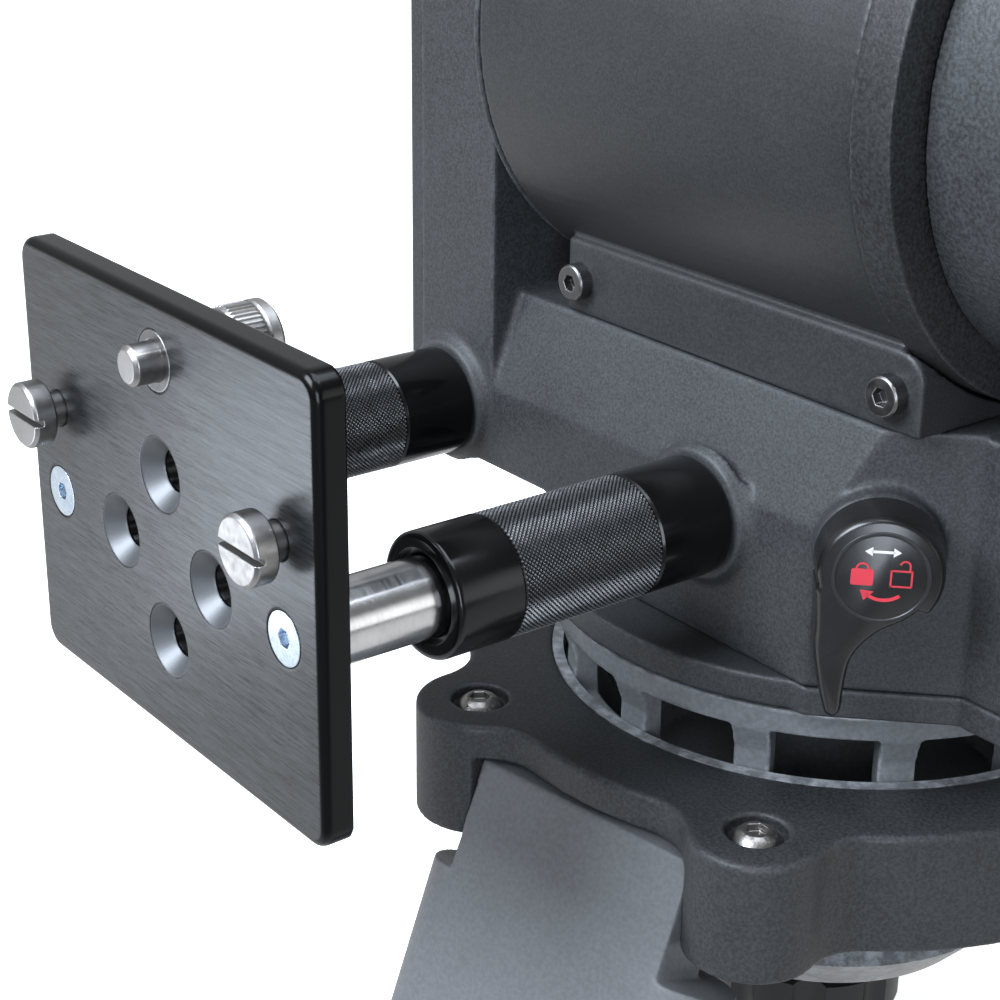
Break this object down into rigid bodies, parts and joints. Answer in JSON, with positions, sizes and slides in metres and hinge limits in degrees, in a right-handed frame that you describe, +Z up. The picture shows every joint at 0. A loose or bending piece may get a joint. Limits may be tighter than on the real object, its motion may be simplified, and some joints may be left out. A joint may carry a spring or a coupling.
{
  "type": "fluid pan and tilt head",
  "caption": "Fluid-drag pan and tilt head with a front bracket plate on two rods, a claw-ball base, and a bowl tripod crown with three leg tops.",
  "frame": {"origin": "on the floor, in the middle of the part's outline", "axes": "+X to the right along the tilt axis, +Y to the back, +Z up along the pan axis"},
  "size_m": [0.2937, 0.3192, 0.4055],
  "materials": {
    "body_black": "fine textured powder coat",
    "leg_grey": "satin paint",
    "anodised_black": "brushed black anodised",
    "cage_black": "satin grey-black anodised",
    "collar_black": "gloss black anodised",
    "bright_steel": "turned satin steel",
    "stainless": "turned stainless steel",
    "zinc": "bright zinc plate",
    "black_screw": "black oxide with worn rims",
    "lever_black": "semi-gloss black",
    "badge": null,
    "catch_red": "moulded",
    "bearing_steel": "ground steel",
    "drag_disc": "lapped steel",
    "vial": "clear with green fluid"
  },
  "bodies": {
    "tripod": {"crown_casting": "body_black", "bowl_insert": "cage_black", "crown_screws": "stainless", "leg_pins": "bright_steel"},
    "front_leg": {"leg_top_front": "leg_grey"},
    "right_leg": {"leg_top_right": "leg_grey"},
    "left_leg": {"leg_top_left": "leg_grey"},
    "ball": {"claw_ball": "cage_black", "pan_spindle": "bright_steel", "tie_down_stud": "bright_steel"},
    "tie_cup": {"tie_down_cup": "cage_black"},
    "tie_knob": {"tie_down_knob": "lever_black"},
    "pan_body": {"bottom_plate": "body_black", "base_casting": "body_black", "side_cover": "body_black", "side_cover_screws": "stainless", "pan_bearings": "bearing_steel", "pan_drag_discs": "drag_disc", "post_base_right": "body_black", "post_base_left": "body_black", "tilt_housing": "body_black", "saddle_screws": "black_screw", "drag_drum": "body_black", "tilt_bearings": "bearing_steel", "tilt_drag_discs": "drag_disc", "counterbalance_spring": "bearing_steel", "lever_bosses": "body_black", "level_housing": "anodised_black", "level_vial": "vial"},
    "right_collar": {"lock_collar_right": "collar_black"},
    "left_collar": {"lock_collar_left": "collar_black"},
    "bracket": {"bracket_rod_right": "bright_steel", "bracket_rod_left": "bright_steel", "bracket_plate": "anodised_black", "rod_screws": "zinc", "plunger_bushing": "stainless", "plunger_spring": "bearing_steel"},
    "right_thumb": {"thumb_screw_right": "stainless"},
    "left_thumb": {"thumb_screw_left": "stainless"},
    "plunger": {"plunger_pin": "bright_steel", "plunger_knob": "stainless"},
    "tilt_head": {"left_cheek": "body_black", "right_cheek": "body_black", "tilt_axle": "bright_steel", "platform": "anodised_black", "platform_screws": "black_screw"},
    "slide": {"sliding_plate": "anodised_black"},
    "front_camera_screw": {"camera_screw_front": "stainless"},
    "rear_camera_screw": {"camera_screw_rear": "stainless"},
    "clamp_lever": {"plate_clamp_lever": "lever_black"},
    "catch": {"plate_catch": "catch_red"},
    "pan_lock": {"pan_lock_lever": "lever_black", "pan_lever_badge": "badge"},
    "tilt_lock": {"tilt_lock_lever": "lever_black", "tilt_lever_badge": "badge"},
    "pan_knob": {"pan_drag_knob": "lever_black"},
    "tilt_knob": {"tilt_drag_knob": "lever_black"},
    "crank": {"counterbalance_crank": "anodised_black"},
    "grip": {"crank_grip": "lever_black"}
  },
  "joints": [
    {"name": "front_leg_fold", "type": "hinge", "parent": "tripod", "child": "front_leg", "pos_m": [0.01704, -0.05729, 0.11211], "axis": [0.9914, 0.1305, 0], "range_deg": [0, 20]},
    {"name": "right_leg_fold", "type": "hinge", "parent": "tripod", "child": "right_leg", "pos_m": [0.07934, 0.09313, 0.11211], "axis": [-0.6088, 0.7934, 0], "range_deg": [0, 20]},
    {"name": "left_leg_fold", "type": "hinge", "parent": "tripod", "child": "left_leg", "pos_m": [-0.08207, 0.07188, 0.11211], "axis": [-0.3827, -0.9239, 0], "range_deg": [0, 20]},
    {"name": "level", "type": "hinge", "parent": "tripod", "child": "ball", "pos_m": [0.00477, 0.03591, 0.13011], "axis": [1, 0, 0], "range_deg": [-4, 4]},
    {"name": "tie_cup_drop", "type": "slide", "parent": "ball", "child": "tie_cup", "axis": [0, 0, -1], "range_m": [0, 0.003]},
    {"name": "tie_knob_turn", "type": "hinge", "parent": "tie_cup", "child": "tie_knob", "pos_m": [0.00477, 0.03591, 0.04211], "axis": [0, 0, -1], "range_deg": [0, 720]},
    {"name": "pan", "type": "hinge", "parent": "ball", "child": "pan_body", "pos_m": [0.00477, 0.03591, 0.15101], "axis": [0, 0, 1], "continuous": true},
    {"name": "tilt", "type": "hinge", "parent": "pan_body", "child": "tilt_head", "pos_m": [0.00477, 0.03191, 0.29911], "axis": [1, 0, 0], "range_deg": [-90, 90]},
    {"name": "plate_slide", "type": "slide", "parent": "tilt_head", "child": "slide", "axis": [0, 1, 0], "range_m": [-0.024, 0.024]},
    {"name": "front_camera_screw_turn", "type": "hinge", "parent": "slide", "child": "front_camera_screw", "pos_m": [0.00672, 0.00191, 0.39111], "axis": [0, 0, 1], "continuous": true},
    {"name": "rear_camera_screw_turn", "type": "hinge", "parent": "slide", "child": "rear_camera_screw", "pos_m": [0.00672, 0.05591, 0.39111], "axis": [0, 0, 1], "continuous": true},
    {"name": "clamp_lever_turn", "type": "hinge", "parent": "tilt_head", "child": "clamp_lever", "pos_m": [0.08017, 0.05191, 0.38361], "axis": [-1, 0, 0], "range_deg": [0, 70]},
    {"name": "catch_press", "type": "slide", "parent": "tilt_head", "child": "catch", "axis": [0, -1, 0], "range_m": [0, 0.004], "stiffness_N_per_m": 250, "springref_m": -0.001},
    {"name": "pan_lock_turn", "type": "hinge", "parent": "pan_body", "child": "pan_lock", "pos_m": [0.07194, -0.02419, 0.19611], "axis": [0.7071, -0.7071, 0], "range_deg": [0, 45]},
    {"name": "tilt_lock_turn", "type": "hinge", "parent": "pan_body", "child": "tilt_lock", "pos_m": [0.06487, 0.10308, 0.19611], "axis": [0.7071, 0.7071, 0], "range_deg": [0, 45]},
    {"name": "pan_drag_turn", "type": "hinge", "parent": "pan_body", "child": "pan_knob", "pos_m": [0.02477, 0.10091, 0.18611], "axis": [0, 1, 0], "range_deg": [0, 300]},
    {"name": "tilt_drag_turn", "type": "hinge", "parent": "pan_body", "child": "tilt_knob", "pos_m": [0.12177, 0.03191, 0.29911], "axis": [1, 0, 0], "range_deg": [0, 300]},
    {"name": "crank_turn", "type": "hinge", "parent": "pan_body", "child": "crank", "pos_m": [-0.10703, 0.04791, 0.26011], "axis": [-1, 0, 0], "continuous": true},
    {"name": "grip_turn", "type": "hinge", "parent": "crank", "child": "grip", "pos_m": [-0.12203, 0.08191, 0.26011], "axis": [-1, 0, 0], "continuous": true},
    {"name": "right_collar_turn", "type": "hinge", "parent": "pan_body", "child": "right_collar", "pos_m": [0.01767, -0.06409, 0.19131], "axis": [0, -1, 0], "range_deg": [0, 120]},
    {"name": "left_collar_turn", "type": "hinge", "parent": "pan_body", "child": "left_collar", "pos_m": [-0.08613, -0.06409, 0.19131], "axis": [0, -1, 0], "range_deg": [0, 120]},
    {"name": "bracket_slide", "type": "slide", "parent": "pan_body", "child": "bracket", "axis": [0, 1, 0], "range_m": [-0.02, 0.024]},
    {"name": "right_thumb_turn", "type": "hinge", "parent": "bracket", "child": "right_thumb", "pos_m": [0.01627, -0.14959, 0.21371], "axis": [0, -1, 0], "continuous": true},
    {"name": "left_thumb_turn", "type": "hinge", "parent": "bracket", "child": "left_thumb", "pos_m": [-0.08473, -0.14959, 0.21371], "axis": [0, -1, 0], "continuous": true},
    {"name": "plunger_pull", "type": "slide", "parent": "bracket", "child": "plunger", "axis": [0, 1, 0], "range_m": [0, 0.007], "stiffness_N_per_m": 500, "springref_m": -0.003, "deforming": ["plunger_spring"]}
  ],
  "couplings": [
    {"joint": "tie_knob_turn", "follows": "tie_cup_drop", "rad_per_m": 4188.8}
  ]
}
